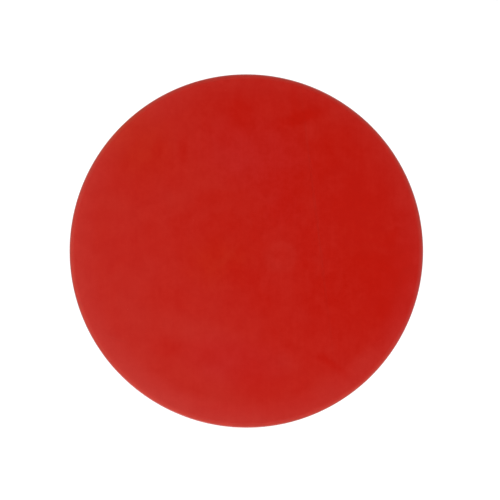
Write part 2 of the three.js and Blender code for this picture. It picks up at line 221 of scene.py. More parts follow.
def new_object(name, bm):
    """An object from a bmesh in millimetres."""
    bmesh.ops.remove_doubles(bm, verts=bm.verts, dist=1e-4)
    bmesh.ops.recalc_face_normals(bm, faces=bm.faces)
    bmesh.ops.scale(bm, vec=(MM, MM, MM), verts=bm.verts)
    mesh = bpy.data.meshes.new(name)
    fill_mesh(mesh, bm)
    obj = bpy.data.objects.new(name, mesh)
    bpy.context.scene.collection.objects.link(obj)
    return obj


def bridge(bm, rings):
    """Faces between each ring of vertices and the next. A ring of one vertex is a point."""
    for a, b in zip(rings, rings[1:]):
        count = max(len(a), len(b))
        for i in range(count):
            j = (i + 1) % count
            corners = [a[i % len(a)], a[j % len(a)], b[j % len(b)], b[i % len(b)]]
            unique = list(dict.fromkeys(corners))
            if len(unique) > 2:
                bm.faces.new(unique)


def turned(name, corners, segments=192, steps=8):
    """A solid turned on the Z axis from corners (radius, height, rounding)."""
    bm = bmesh.new()
    rings = []
    for point in rounded(corners, steps):
        on_axis = point.x < 1e-6
        ring = [(0, 0)] if on_axis else circle(point.x, segments)
        rings.append([bm.verts.new((x, y, point.y)) for x, y in ring])
    if len(rings[0]) > 1:
        rings.append(rings[0])
    bridge(bm, rings)
    return new_object(name, bm)


def prisms(name, outline, bottom, top, places=(Matrix.Identity(4),)):
    """Straight solids of a flat outline, one at each place, standing from bottom to top."""
    bm = bmesh.new()
    for place in places:
        rings = []
        for z in (bottom, top):
            rings.append([bm.verts.new(place @ Vector((x, y, z))) for x, y in outline])
        bm.faces.new(rings[0][::-1])
        bm.faces.new(rings[1])
        bridge(bm, rings)
    return new_object(name, bm)


def places_round(count, radius=0):
    """Places evenly round the Z axis at a radius, the first of them on +X."""
    turns = [Matrix.Rotation(2 * math.pi * i / count, 4, "Z") for i in range(count)]
    return [turn @ Matrix.Translation((radius, 0, 0)) for turn in turns]


def moved(obj, place):
    """Moves a mesh made on the Z axis to its place."""
    in_metres = place.copy()
    in_metres.translation *= MM
    obj.data.transform(in_metres)
    return obj


def combined(obj, operation, *others):
    """The union, intersection or difference of the object and the others, which are used up."""
    for other in others:
        modifier = obj.modifiers.new(operation, "BOOLEAN")
        modifier.object = other
        modifier.operation = operation
        modifier.solver = "MANIFOLD"
    graph = bpy.context.evaluated_depsgraph_get()
    bm = bmesh.new()
    bm.from_mesh(obj.evaluated_get(graph).data)
    bmesh.ops.dissolve_degenerate(bm, dist=1e-7, edges=bm.edges)
    obj.modifiers.clear()
    fill_mesh(obj.data, bm)
    for other in others:
        bpy.data.objects.remove(other)
    return obj


# ---- Materials ----


class Paint:
    """A node material. Every method adds nodes and gives back their output socket."""

    def __init__(self, name, metallic=0.0, specular=0.5):
        self.material = bpy.data.materials.new(name)
        self.material.use_nodes = True
        self.tree = self.material.node_tree
        self.shader = self.tree.nodes["Principled BSDF"]
        self.shader.inputs["Metallic"].default_value = metallic
        self.shader.inputs["Specular IOR Level"].default_value = specular
        self.place = self.tree.nodes.new("ShaderNodeTexCoord").outputs["Object"]

    def feed(self, socket, value):
        """Links a socket to the value, or sets it where the value is plain."""
        if isinstance(value, bpy.types.NodeSocket):
            self.tree.links.new(value, socket)
        else:
            socket.default_value = value

    def math(self, operation, a, b=0.0, clamp=False):
        node = self.tree.nodes.new("ShaderNodeMath")
        node.operation = operation
        node.use_clamp = clamp
        self.feed(node.inputs[0], a)
        self.feed(node.inputs[1], b)
        return node.outputs[0]

    def vector_math(self, operation, a, b=(0, 0, 0)):
        node = self.tree.nodes.new("ShaderNodeVectorMath")
        node.operation = operation
        self.feed(node.inputs[0], a)
        self.feed(node.inputs[1], b)
        return node.outputs["Value" if operation in ("LENGTH", "DOT_PRODUCT") else "Vector"]

    def mapped(self, place=None, location=(0, 0, 0), turn=0.0, size=(1, 1, 1)):
        """Coordinates in metres, counted from a location, turned about Z and divided by a size."""
        node = self.tree.nodes.new("ShaderNodeMapping")
        node.vector_type = "TEXTURE"
        self.feed(node.inputs["Vector"], place or self.place)
        node.inputs["Location"].default_value = location
        node.inputs["Rotation"].default_value = (0, 0, turn)
        node.inputs["Scale"].default_value = size
        return node.outputs[0]

    def noise_node(self, size, place=None):
        """A noise node whose features are about size across. size may differ by axis."""
        sizes = size if isinstance(size, tuple) else (size, size, size)
        node = self.tree.nodes.new("ShaderNodeTexNoise")
        self.feed(node.inputs["Vector"], self.mapped(place, size=[s * MM for s in sizes]))
        node.inputs["Scale"].default_value = 1.0
        return node

    def noise(self, size, detail=3.0, roughness=0.5, distortion=0.0, place=None):
        node = self.noise_node(size, place)
        node.inputs["Detail"].default_value = detail
        node.inputs["Roughness"].default_value = roughness
        node.inputs["Distortion"].default_value = distortion
        return node.outputs["Fac"]

    def wobbly(self, size, amount):
        """Coordinates pushed about by noise, to make shapes drawn with them irregular."""
        noise = self.noise_node(size).outputs["Color"]
        centred = self.vector_math("SUBTRACT", noise, (0.5, 0.5, 0.5))
        push = self.vector_math("MULTIPLY", centred, (amount * MM,) * 3)
        return self.vector_math("ADD", self.place, push)

    def cells(self, size):
        """Distance to the nearest of scattered points that are size apart, in units of size."""
        node = self.tree.nodes.new("ShaderNodeTexVoronoi")
        self.feed(node.inputs["Vector"], self.mapped(size=(size * MM,) * 3))
        node.inputs["Scale"].default_value = 1.0
        return node.outputs["Distance"]

    def fade(self, value, start, end, to_start=0.0, to_end=1.0):
        """Goes smoothly from to_start to to_end as the value goes from start to end."""
        node = self.tree.nodes.new("ShaderNodeMapRange")
        node.interpolation_type = "SMOOTHSTEP"
        for socket, number in zip(
            ("Value", "From Min", "From Max", "To Min", "To Max"),
            (value, start, end, to_start, to_end),
        ):
            self.feed(node.inputs[socket], number)
        return node.outputs["Result"]

    def near(self, value, middle, width):
        """1 where the value is the middle one, and 0 from width away from it."""
        away = self.math("ABSOLUTE", self.math("SUBTRACT", value, middle))
        return self.fade(away, width, 0.0)

    def blend(self, factor, a, b):
        """Goes from colour a to colour b as the factor goes from 0 to 1."""
        node = self.tree.nodes.new("ShaderNodeMix")
        node.data_type = "RGBA"
        self.feed(node.inputs["Factor"], factor)
        for socket, value in zip(("A", "B"), (a, b)):
            colours = [i for i in node.inputs if i.name == socket and i.type == "RGBA"]
            self.feed(colours[0], (*value, 1.0) if isinstance(value, tuple) else value)
        return next(o for o in node.outputs if o.type == "RGBA")

    def weighted(self, layers):
        """The sum of layers (value, strength)."""
        result = 0.0
        for value, strength in layers:
            result = self.math("ADD", result, self.math("MULTIPLY", value, strength))
        return result

    def in_millimetres(self, metres):
        return self.math("DIVIDE", metres, MM)

    def radius(self):
        """Distance from the Z axis."""
        flat = self.mapped(size=(1, 1, 1e9))
        return self.in_millimetres(self.vector_math("LENGTH", flat))

    def along(self, turn):
        """Distance from the Z axis in one direction, turned from +X by degrees."""
        towards = (math.cos(math.radians(turn)), math.sin(math.radians(turn)), 0)
        return self.in_millimetres(self.vector_math("DOT_PRODUCT", self.place, towards))

    def height(self):
        return self.in_millimetres(self.vector_math("DOT_PRODUCT", self.place, (0, 0, 1)))

    def beside_spoke(self, count):
        """Distance from the nearest of count radial lines, the first of them half a step from +X."""
        step = 2 * math.pi / count
        parts = self.tree.nodes.new("ShaderNodeSeparateXYZ")
        self.feed(parts.inputs[0], self.place)
        angle = self.math("ARCTAN2", parts.outputs["Y"], parts.outputs["X"])
        past_line = self.math("SUBTRACT", self.math("FLOORED_MODULO", angle, step), step / 2)
        sideways = self.math("ABSOLUTE", self.math("SINE", past_line))
        return self.math("MULTIPLY", sideways, self.radius())

    def patch(self, place, x, y, length, width, turn, soft):
        """1 in the middle of a soft-edged oval at x, y and 0 outside it."""
        local = self.mapped(
            place,
            location=(x * MM, y * MM, 0),
            turn=math.radians(turn),
            size=(length * MM / 2, width * MM / 2, 1),
        )
        return self.fade(self.vector_math("LENGTH", local), 1.0, 1.0 - soft)

    def patches(self, place, rows, soft):
        """The sum of ovals, one for each row of x, y, length, width, turn and strength."""
        return self.weighted(
            [(self.patch(place, *where, soft), strength) for *where, strength in rows]
        )

    def scratches(self, turn, length=60, spacing=2.5):
        """Thin, nearly straight lines, turned from +X by degrees, in scattered patches."""
        place = self.mapped(turn=math.radians(turn))
        lines = self.near(self.noise((length, spacing, length), detail=1, place=place), 0.5, 0.015)
        return self.math("MULTIPLY", lines, self.fade(self.noise(26, place=place), 0.54, 0.66))

    def bump(self, height, depth, normal=None):
        """Bumps that are depth deep where the height goes from 0 to 1."""
        node = self.tree.nodes.new("ShaderNodeBump")
        node.inputs["Distance"].default_value = depth * MM
        self.feed(node.inputs["Height"], height)
        if normal:
            self.feed(node.inputs["Normal"], normal)
        return node.outputs["Normal"]

    def finished(self, colour, roughness, normal):
        """The material, with its colour, roughness and bumps joined to the shader."""
        self.feed(self.shader.inputs["Base Color"], colour)
        self.feed(self.shader.inputs["Roughness"], roughness)
        self.feed(self.shader.inputs["Normal"], normal)
        return self.material


def lighter(colour, share):
    """A colour moved towards white by that share of the way."""
    return tuple(c + (1 - c) * share for c in colour)


def scaled(colour, factor):
    return tuple(c * factor for c in colour)


# The bloom is a pale film on the red rubber, a little cooler in some places than in others; the same
# pale colour also paints sheen on the running face.
RED = (0.413, 0.0044, 0.0003)
WARM_BLOOM_AND_SHEEN = (0.95, 0.6, 0.28)
COOL_BLOOM_AND_SHEEN = (0.95, 0.56, 0.6)

# Marks in the bloom on the running face: x, y, length and width, the turn in degrees, and the
# share of bloom that the mark adds or, below zero, takes away.
MARKS = [
    # Four finger prints.
    (31, 96, 30, 17, 92, -0.003),
    (48, 79, 28, 14, 88, -0.0045),
    (67, 79, 30, 17, 92, -0.004),
    (84, 86, 26, 14, 97, -0.003),
    # Stretches wiped cleaner.
    (-37, 100, 66, 13, -19, -0.0055),
    (6, 105, 44, 34, 70, -0.004),
    (-4, -102, 60, 42, 10, -0.0045),
    (62, -74, 44, 22, 0, -0.0045),
    (-66, -88, 48, 10, 41, -0.005),
    (-84, 36, 110, 84, 90, -0.0036),
    (-106, -20, 96, 60, 85, -0.0032),
    (-46, 8, 56, 26, 90, -0.004),
    (5, -18, 44, 30, 0, -0.0045),
    (2, -38, 66, 40, 0, -0.0025),
    (92, 2, 60, 52, 0, -0.0042),
    (-124, -20, 120, 26, 90, -0.005),
    (18, -122, 100, 22, 0, -0.0035),
    # Clouds of thicker bloom.
    (52, 96, 110, 50, -22, 0.004),
    (-62, 98, 74, 28, -32, 0.0036),
    (52, 39, 34, 32, 0, 0.0042),
    (100, 36, 36, 26, 0, 0.0035),
    (45, -58, 160, 34, 13, 0.0045),
    (16, -5, 56, 9, 139, 0.0035),
    (-90, -84, 40, 18, 135, 0.0042),
    (-58, -104, 34, 26, 5, 0.005),
    (-28, -84, 44, 18, 20, 0.003),
    (24, 62, 110, 40, -20, 0.002),
    (12, 68, 150, 90, 0, 0.0024),
    (-36, 84, 60, 60, 0, 0.0016),
]
# Where the bloom is cooler or, below zero, warmer, in the same columns.
TINTS = [
    (-10, 72, 130, 80, 20, 0.55),
    (-28, 33, 40, 44, 0, 0.45),
    (8, -84, 120, 56, 10, 0.5),
    (-118, -20, 170, 50, 90, 0.5),
    (84, 82, 90, 70, 45, -0.5),
    (20, -8, 80, 56, 0, -0.55),
    (-92, 14, 70, 70, 0, -0.5),
]
# Two hairlines, in the same columns.
HAIRLINES = [
    (-54, 23, 330, 3, 83, 1.0),
    (100, -67, 30, 2, 17, 1.0),
]
# A faint round mark near the middle, a pale oval round a cleaner core: x, y, length, width and
# turn as above, and how soft its edge is.
ROUND_MARK = (-26, -5, 32, 32, 0, 0.5)
ROUND_MARK_CORE = (-27, -2, 16, 16, 0, 0.6)


def rubber_sole():
    """Smooth red rubber under a thin clouded bloom, with finger marks, hairlines and a fine grain,
    and painted sheen towards one side and round the rim.
    """
    paint = Paint("red_rubber_sole", specular=0.11)
    irregular = paint.wobbly(14, 8)
    cloud = paint.fade(paint.noise(55, detail=6, roughness=0.62, distortion=0.8), 0.32, 0.68)
    mottle = paint.fade(paint.noise(11, detail=5, roughness=0.6, distortion=0.5), 0.3, 0.7)
    fine = paint.fade(paint.noise(3.2, detail=4, roughness=0.7), 0.3, 0.7)
    streaks = paint.fade(paint.noise((1.8, 50, 50), detail=3, roughness=0.6), 0.35, 0.65)
    specks = paint.fade(paint.cells(21), 0.034, 0.016)
    lines = paint.patches(paint.place, HAIRLINES, soft=0.9)
    near_rim = paint.fade(paint.radius(), 131.5, SOLE_RADIUS)
    # Painted highlight on the rounded rim, lifting the part of the rim that the floor's hole shades.
    painted_rim_highlight = paint.math("MULTIPLY", near_rim, paint.fade(paint.height(), 6, 3))

    # How much pale film covers the red: real bloom, marks and dust, plus painted sheen towards one
    # side and round the rim.
    bloom_and_sheen = paint.weighted(
        [
            (paint.patches(irregular, MARKS, soft=0.85), 1.0),
            # Painted sheen: more pale film towards the side the key light comes from, less on the far
            # side.
            (paint.fade(paint.along(-12), -90, 150, -0.0033, 0.0097), 1.0),
            # Painted sheen, stronger towards the -Y edge.
            (paint.fade(paint.along(-90), 40, 125), 0.004),
            # Painted sheen: paler over the outer crown towards the rim.
            (paint.fade(paint.radius(), 120, SOLE_RADIUS), 0.0055),
            (paint.patch(irregular, *ROUND_MARK), 0.0065),
            (paint.patch(irregular, *ROUND_MARK_CORE), -0.0035),
            (cloud, 0.002),
            (mottle, 0.0052),
            (fine, 0.0038),
            (streaks, 0.0018),
            (lines, 0.002),
            (specks, 0.02),
            # Painted highlight on the rounded rim.
            (painted_rim_highlight, 0.06),
        ]
    )
    bloom_and_sheen = paint.math("MAXIMUM", bloom_and_sheen, 0.0)
    uneven = paint.weighted([(fine, 0.5), (mottle, 0.5)])
    red = paint.blend(uneven, scaled(RED, 0.972), scaled(RED, 1.028))
    red = paint.blend(lines, red, scaled(RED, 0.955))
    coolness = paint.math("ADD", paint.patches(irregular, TINTS, soft=0.85), 0.5, clamp=True)
    bloom_and_sheen_colour = paint.blend(coolness, WARM_BLOOM_AND_SHEEN, COOL_BLOOM_AND_SHEEN)
    colour = paint.blend(bloom_and_sheen, red, bloom_and_sheen_colour)

    roughness = paint.fade(cloud, 0.0, 1.0, 0.31, 0.36)
    normal = paint.bump(paint.noise(0.7, detail=2), 0.012)
    normal = paint.bump(paint.fade(paint.cells(2.4), 0.05, 0.2), 0.012, normal)
    normal = paint.bump(lines, -0.03, normal)
    return paint.finished(colour, roughness, normal)


def rubber(name, colour, dust=0.05, roughness=0.6):
    """Matte moulded rubber with a fine grain and rubbed, dusty patches."""
    paint = Paint(name, specular=0.35)
    dusty = paint.fade(paint.noise(18, detail=5, roughness=0.65), 0.42, 0.72)
    shade = paint.blend(dusty, colour, lighter(colour, dust))
    speckled = paint.fade(paint.noise(0.8, detail=2), 0.35, 0.7)
    shade = paint.blend(speckled, shade, scaled(colour, 0.85))
    gloss = paint.fade(dusty, 0.0, 1.0, roughness - 0.07, roughness + 0.08)
    grain = paint.bump(paint.noise(0.3, detail=3), 0.015)
    waves = paint.bump(paint.noise(7, detail=2), 0.04, grain)
    return paint.finished(shade, gloss, waves)


def rib_crests(paint):
    """1 along the tops of the shell's ribs and on the rim of its flange, where hands rub them."""
    crest = paint.fade(paint.beside_spoke(SHELL_RIBS), 2.6, 0.8)
    inner_end = paint.fade(paint.radius(), 46, 56)
    outer_end = paint.fade(paint.radius(), 122, 114)
    crest = paint.math("MULTIPLY", crest, paint.math("MULTIPLY", inner_end, outer_end))
    rim = paint.fade(paint.radius(), SHELL_RADIUS - 1.8, SHELL_RADIUS - 0.2)
    return paint.math("ADD", crest, rim)


def plate_rims(paint):
    """Long level scuffs round the rims of the sole's carrier and the base plate."""
    level = paint.fade(paint.noise((70, 70, 0.9), detail=3), 0.54, 0.72)
    return paint.math("MULTIPLY", level, paint.fade(paint.radius(), BASE_RADIUS - 0.8, BASE_RADIUS))


def moulded_plastic(name, colour, rubbed_places, grain_depth=0.03):
    """Satin moulded plastic: a leathery grain, faint flow marks, pale scuffs and rubbed places."""
    paint = Paint(name, specular=0.45)
    flow = paint.noise((60, 60, 14), detail=3, distortion=0.5)
    scuffs = paint.math("MAXIMUM", paint.scratches(25), paint.scratches(100))
    dust = paint.fade(paint.noise(3.0, detail=6, roughness=0.75), 0.6, 0.78)
    broken_up = paint.fade(paint.noise(12, detail=4), 0.35, 0.6)
    rubbed = paint.math("MULTIPLY", rubbed_places(paint), broken_up)

    shade = paint.blend(paint.fade(flow, 0.35, 0.7), scaled(colour, 0.88), lighter(colour, 0.012))
    shade = paint.blend(paint.math("MULTIPLY", scuffs, 0.3), shade, lighter(colour, 0.22))
    shade = paint.blend(paint.math("MULTIPLY", dust, 0.3), shade, lighter(colour, 0.09))
    shade = paint.blend(paint.math("MULTIPLY", rubbed, 0.5), shade, lighter(colour, 0.15))
    gloss = paint.weighted([(paint.fade(flow, 0.3, 0.7, 0.32, 0.42), 1.0), (rubbed, -0.08)])
    grain = paint.fade(paint.cells(1.3), 0.0, 0.7)
    grain = paint.math("MULTIPLY", grain, paint.fade(rubbed, 0.0, 1.0, 1.0, 0.3))
    normal = paint.bump(grain, grain_depth)
    normal = paint.bump(scuffs, -0.05, normal)
    return paint.finished(shade, gloss, normal)


def turned_metal(name, colour, lines, roughness, worn=0.0, depth=0.004):
    """Metal with fine tool lines. lines is the size of the streaks along X, Y and Z."""
    paint = Paint(name, metallic=1.0)
    streaks = paint.noise(lines, detail=4, roughness=0.7)
    tarnish = paint.noise(32, detail=5, roughness=0.62, distortion=0.4)
    shade = paint.blend(paint.fade(streaks, 0.3, 0.7), scaled(colour, 0.86), colour)
    shade = paint.blend(paint.fade(tarnish, 0.45, 0.75), shade, scaled(colour, 0.78))
    gloss = paint.fade(streaks, 0.3, 0.7, roughness - 0.07, roughness + 0.08)
    normal = paint.bump(streaks, depth)
    if worn:
        knocks = paint.fade(paint.cells(6.5), 0.16, 0.03)
        knocks = paint.math("MULTIPLY", knocks, paint.fade(paint.noise(22), 0.5, 0.6))
        scratch = paint.near(paint.noise((45, 45, 2.4), detail=1), 0.5, 0.005)
        scratch = paint.math("MULTIPLY", scratch, paint.fade(paint.noise(16), 0.48, 0.6))
        marks = paint.weighted([(knocks, worn), (scratch, worn)])
        shade = paint.blend(marks, shade, scaled(colour, 0.45))
        gloss = paint.weighted([(gloss, 1.0), (marks, 0.2)])
        normal = paint.bump(marks, -0.12, normal)
    return paint.finished(shade, gloss, normal)


KNOB_RED = (0.42, 0.009, 0.005)
BLACK_RUBBER = (0.012, 0.012, 0.013)
BLACK_PLASTIC = (0.02, 0.021, 0.023)
SHELL_GREY = (0.045, 0.05, 0.058)
STEEL = (0.5, 0.495, 0.485)
ALUMINIUM = (0.5, 0.506, 0.518)
BRASS = (0.62, 0.43, 0.17)

materials = {
    "sole": rubber_sole(),
    "knob": rubber("red_rubber_knob", KNOB_RED, dust=0.02, roughness=0.42),
    "black_rubber": rubber("black_rubber", BLACK_RUBBER),
    "grip": rubber("grip_rubber", BLACK_RUBBER, dust=0.02, roughness=0.5),
    "black_plastic": moulded_plastic("black_plastic", BLACK_PLASTIC, plate_rims),
    "shell": moulded_plastic("shell_plastic", SHELL_GREY, rib_crests, grain_depth=0.07),
    "ring": turned_metal("ring_steel", STEEL, (120, 120, 0.35), 0.22, worn=0.8, depth=0.006),
    "steel": turned_metal("bright_steel", STEEL, (0.5, 0.5, 3), 0.32),
    "tube": turned_metal("anodised_tube", ALUMINIUM, (0.5, 0.5, 60), 0.23, depth=0.002),
    "socket": turned_metal("turned_aluminium", ALUMINIUM, (70, 70, 0.3), 0.22, worn=0.2),
    "brass": turned_metal("machined_brass", BRASS, (60, 60, 0.4), 0.3),
}


def fitted(obj, body, node, material):
    """Puts the material on a piece, hangs it on the body it rides on, and hides the CAD node it
    stands for.
    """
    obj.data.materials.clear()
    obj.data.materials.append(materials[material])
    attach(obj, body)
    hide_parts(node)


# ---- Running sole ----


def running_rubber():
    """The red disc that glides: flat in the middle, rising a little to a rounded rim."""
    top = high("running_facing")
    piece = turned(
        "sole_rubber",
        [
            (0, 0),
            (CROWN_START, 0, CROWN_ROUNDING),
            (SOLE_RADIUS, CROWN_RISE, RIM_ROUNDING),
            (SOLE_RADIUS, top, 1),
            (0, top),
        ],
        segments=256,
        steps=12,
    )
    fitted(piece, "sole", "running_facing", "sole")


def carrier_plate():
    """The plate above the rubber, with ribbed pockets, a spigot and lugs on bosses."""
    bottom = low("sole_carrier")
    rim = CARRIER_RADIUS
    bore = INSERT_BARREL_RADIUS + GAP
    recess = reach("sole_insert") + GAP
    recess_top = INSERT_FLANGE_TOP + GAP
    under_floor = POCKET_FLOOR - 0.5  # ribs and bosses start a little inside the plate
    piece = turned(
        "sole_plate",
        [
            (bore, recess_top),
            (recess, recess_top),
            (recess, bottom),
            (rim, bottom, 0.8),
            (rim, CARRIER_GROOVE - 0.7, 0.2),
            (rim - 0.5, CARRIER_GROOVE - 0.3, 0.2),
            (rim - 0.5, CARRIER_GROOVE + 0.3, 0.2),
            (rim, CARRIER_GROOVE + 0.7, 0.2),
            (rim, CARRIER_TOP, 1.2),
            (POCKET_OUTSIDE + 1, CARRIER_TOP, 0.5),
            (POCKET_OUTSIDE - 1, POCKET_FLOOR, 1),
            (POCKET_INSIDE + 1, POCKET_FLOOR, 1),
            (POCKET_INSIDE - 1, CARRIER_TOP, 0.5),
            (SPIGOT_RADIUS, CARRIER_TOP),
            (SPIGOT_RADIUS - 0.8, SPIGOT_TOP, 0.5),
            (bore, SPIGOT_TOP),
        ],
        steps=4,
    )
    half = CARRIER_RIB_WIDTH / 2
    start = POCKET_INSIDE - 2
    end = POCKET_OUTSIDE + 0.5
    rib = [(start, -half), (end, -half), (end, half), (start, half)]
    ribs = prisms("ribs", rib, under_floor, CARRIER_TOP, places_round(CARRIER_RIBS))
    places = places_round(LUGS, LUG_CIRCLE)
    bosses = prisms("bosses", circle(BOSS_RADIUS, 48), under_floor, CARRIER_TOP - 0.05, places)
    lugs = prisms("lugs", circle(LUG_RADIUS), POCKET_FLOOR + 5, high("sole_carrier"), places)
    combined(piece, "UNION", ribs, bosses, lugs)
    fitted(piece, "sole", "sole_carrier", "black_plastic")


# ---- Stock body ----


def base_plate():
    """The plate under the stock body, with a recess for the spigot and pockets for the lugs."""
    bottom = low("body_base")
    below = bottom - 4  # where the cutters start, clear of the plate
    bore = SLEEVE_RADIUS + GAP
    recess = SPIGOT_RADIUS + GAP
    recess_top = SPIGOT_TOP + GAP
    piece = turned(
        "base_plate",
        [
            (bore, recess_top),
            (recess, recess_top),
            (recess, bottom, 0.3),
            (BASE_RADIUS, bottom, 0.8),
            (BASE_RADIUS, BASE_FLANGE_TOP, 0.8),
            (CORE_RADIUS, BASE_FLANGE_TOP, 0.3),
            (CORE_RADIUS, BASE_TOP),
            (bore, BASE_TOP),
        ],
        steps=5,
    )
    pocket_top = high("sole_carrier") + GAP
    pocket_places = places_round(LUGS, LUG_CIRCLE)
    pockets = prisms("pockets", circle(LUG_RADIUS + GAP), below, pocket_top, pocket_places)
    hole_top = bottom + SCREW_HOLE_DEPTH
    hole_places = places_round(SHELL_SCREWS, SCREW_CIRCLE)
    holes = prisms("holes", circle(SCREW_HOLE_RADIUS, 40), below, hole_top, hole_places)
    combined(piece, "DIFFERENCE", pockets, holes)
    fitted(piece, "stock_body", "body_base", "black_plastic")


def damper(name, node, side):
    """The rubber on one side of the steel ring: its lip, and the leg behind the ring."""
    lip = low("lower_damper")
    leg = high("lower_damper")
    behind = CORE_RADIUS + GAP
    front = RING_INNER_RADIUS - GAP

    def height(z):
        """The height itself for the lower damper, and its mirror image for the upper one."""
        return RING_MIDDLE + side * (z - RING_MIDDLE)

    piece = turned(
        name,
        [
            (behind, height(lip)),
            (DAMPER_RADIUS, height(lip), 0.9),
            (DAMPER_RADIUS, height(lip + DAMPER_LIP), 0.9),
            (front, height(lip + DAMPER_LIP), 0.4),
            (front, height(leg), 0.8),
            (behind, height(leg), 0.8),
        ],
        segments=256,
        steps=5,
    )
    fitted(piece, "stock_body", node, "black_rubber")


def impact_ring():
    """The steel ring, slightly rounded across its face, with softened edges."""
    bottom = low("steel_ring")
    top = high("steel_ring")
    piece = turned(
        "impact_ring",
        [
            (RING_INNER_RADIUS, bottom, 0.6),
            (RING_RADIUS - 1.2, bottom, 1.6),
            (RING_RADIUS, bottom + 6, 12),
            (RING_RADIUS, top - 6, 12),
            (RING_RADIUS - 1.2, top, 1.6),
            (RING_INNER_RADIUS, top, 0.6),
        ],
        segments=320,
    )
    fitted(piece, "stock_body", "steel_ring", "ring")


def smooth(value, start, end):
    """0 before start, 1 after end and a smooth rise between."""
    t = min(1.0, max(0.0, (value - start) / (end - start)))
    return t * t * (3 - 2 * t)


def rib_height(radius, off_centre):
    """How much a rib raises the dome at a radius, that far beside the rib's middle."""
    along = smooth(radius, *RIB_START) * (1 - smooth(radius, *RIB_END))
    return RIB_HEIGHT * along * (1 - smooth(abs(off_centre), *RIB_FLANK))


def subdivided(outline, longest):
    """The outline with points added so that no step in it is longer than that."""
    points = [outline[0]]
    for point in outline[1:]:
        start = points[-1]
        steps = max(1, math.ceil((point - start).length / longest))
        points += [start.lerp(point, (k + 1) / steps) for k in range(steps)]
    return points


def rib_angles(samples, crowding):
    """Angles round the dome with the middle of a rib each, crowded together near the ribs."""
    pairs = []
    for rib in range(SHELL_RIBS):
        middle = (2 * rib + 1) * math.pi / SHELL_RIBS
        for k in range(samples):
            s = 2 * k / samples - 1
            offset = math.copysign(abs(s) ** crowding, s) * math.pi / SHELL_RIBS
            pairs.append((middle + offset, middle))
    return pairs


def dome():
    """The shell's dome, with radial ribs that rise out of it in smooth fillets."""
    bottom = high("upper_damper") + GAP
    flange_top = bottom + SHELL_FLANGE
    bore = SLEEVE_RADIUS + GAP
    outside = rounded(
        [
            (SHELL_INSIDE_RADIUS, bottom),
            (SHELL_RADIUS, bottom, 0.8),
            (SHELL_RADIUS, flange_top, 3),
            (DOME_EDGE, 71.5, 40),
            (DOME_FOOT, 80, 30),
            (HUB_RADIUS + 2, SHELL_TOP - 2, 3),
            (HUB_RADIUS, SHELL_TOP, 1),
            (bore, SHELL_TOP),
        ],
        steps=10,
    )
    outside = subdivided(outside, 2.5)
    inside = rounded(
        [
            (bore, 82),
            (HUB_RADIUS - 1, 82),
            (DOME_FOOT - 4, 75),
            (DOME_EDGE, 65.5),
            (SHELL_INSIDE_RADIUS, bottom),
        ]
    )
    bm = bmesh.new()
    rings = []
    for i, point in enumerate(outside + inside):
        on_dome = i < len(outside) and point.y > flange_top
        ring = []
        for angle, middle in rib_angles(samples=40, crowding=1.6):
            lift = rib_height(point.x, point.x * math.sin(angle - middle)) if on_dome else 0.0
            place = (point.x * math.cos(angle), point.x * math.sin(angle), point.y + lift)
            ring.append(bm.verts.new(place))
        rings.append(ring)
    rings.append(rings[0])
    bridge(bm, rings)
    fitted(new_object("dome", bm), "stock_body", "body_shell", "shell")


def hub_flange():
    """The steel sleeve that the handle clamps, with its flange on top of the dome."""
    bottom = low("hub_sleeve")
    top = high("hub_sleeve")
    flange = reach("hub_sleeve")
    piece = turned(
        "hub_flange",
        [
            (BOLT_BORE, bottom),
            (SLEEVE_RADIUS, bottom, 0.5),
            (SLEEVE_RADIUS, top - SLEEVE_FLANGE, 0.3),
            (flange, top - SLEEVE_FLANGE, 0.5),
            (flange, top, 0.9),
            (BOLT_BORE, top),
        ],
        steps=5,
    )
    fitted(piece, "stock_body", "hub_sleeve", "socket")


# ---- Handle ----


def thrust_washer():
    bottom = low("friction_washer")
    top = high("friction_washer")
    rim = reach("friction_washer")
    piece = turned(
        "thrust_washer",
        [(BOLT_BORE, bottom), (rim, bottom, 0.5), (rim, top, 0.5), (BOLT_BORE, top)],
        steps=4,
    )
    fitted(piece, "handle", "friction_washer", "black_rubber")


def foot_flange():
    """The hexagon under the foot's cone, its corners turned down as on a nut."""
    bottom = low("handle_foot")
    top = bottom + FOOT_FLANGE
    face_radius = 22.2
    corner_radius = 24.85
    chamfer = 1.5
    flange = prisms("flange", hexagon(FOOT_FLATS), bottom, top)
    corner_trim = turned(
        "corner_trim",
        [
            (0, bottom - 0.01),
            (face_radius, bottom - 0.01),
            (corner_radius, bottom + chamfer),
            (corner_radius, top - chamfer),
            (face_radius, top + 0.01),
            (0, top + 0.01),
        ],
        segments=128,
    )
    return combined(flange, "INTERSECT", corner_trim)


def handle_socket():
    """The foot: a turned cone on a flange with spanner flats, bored across for the pin."""
    bottom = low("handle_foot")
    top = high("handle_foot")
    tube_bore = TUBE_RADIUS + GAP
    floor_height = TUBE_BOTTOM - GAP
    piece = turned(
        "handle_socket",
        [
            (BOLT_BORE, bottom + 0.2),
            (20.5, bottom + 0.2),
            (20.5, bottom + 9, 5),
            (17.1, top - 4.6, 0.4),
            (16.4, top - 4.2, 0.3),
            (16.4, top - 3.4, 0.3),
            (17, top - 3, 0.4),
            (16.6, top, 1.5),
            (tube_bore, top, 0.3),
            (tube_bore, floor_height),
            (BOLT_BORE, floor_height),
        ],
        steps=6,
    )
    combined(piece, "UNION", foot_flange())
    bore = prisms("bore", circle(BOLT_BORE, 64), bottom - 1, bottom + 8)
    pocket = prisms("pocket", hexagon(BOLT_HEAD_FLATS + 2 * GAP), bottom + POCKET_RISE, TUBE_BOTTOM)
    combined(piece, "DIFFERENCE", bore, pocket, pin_hole())
    fitted(piece, "handle", "handle_foot", "socket")


def pin_hole():
    """The cutter for the cross pin's hole, long enough to go right through the foot."""
    return prisms("pin_hole", circle(PIN_RADIUS + GAP, 40), -30, 30, [CROSSWISE])


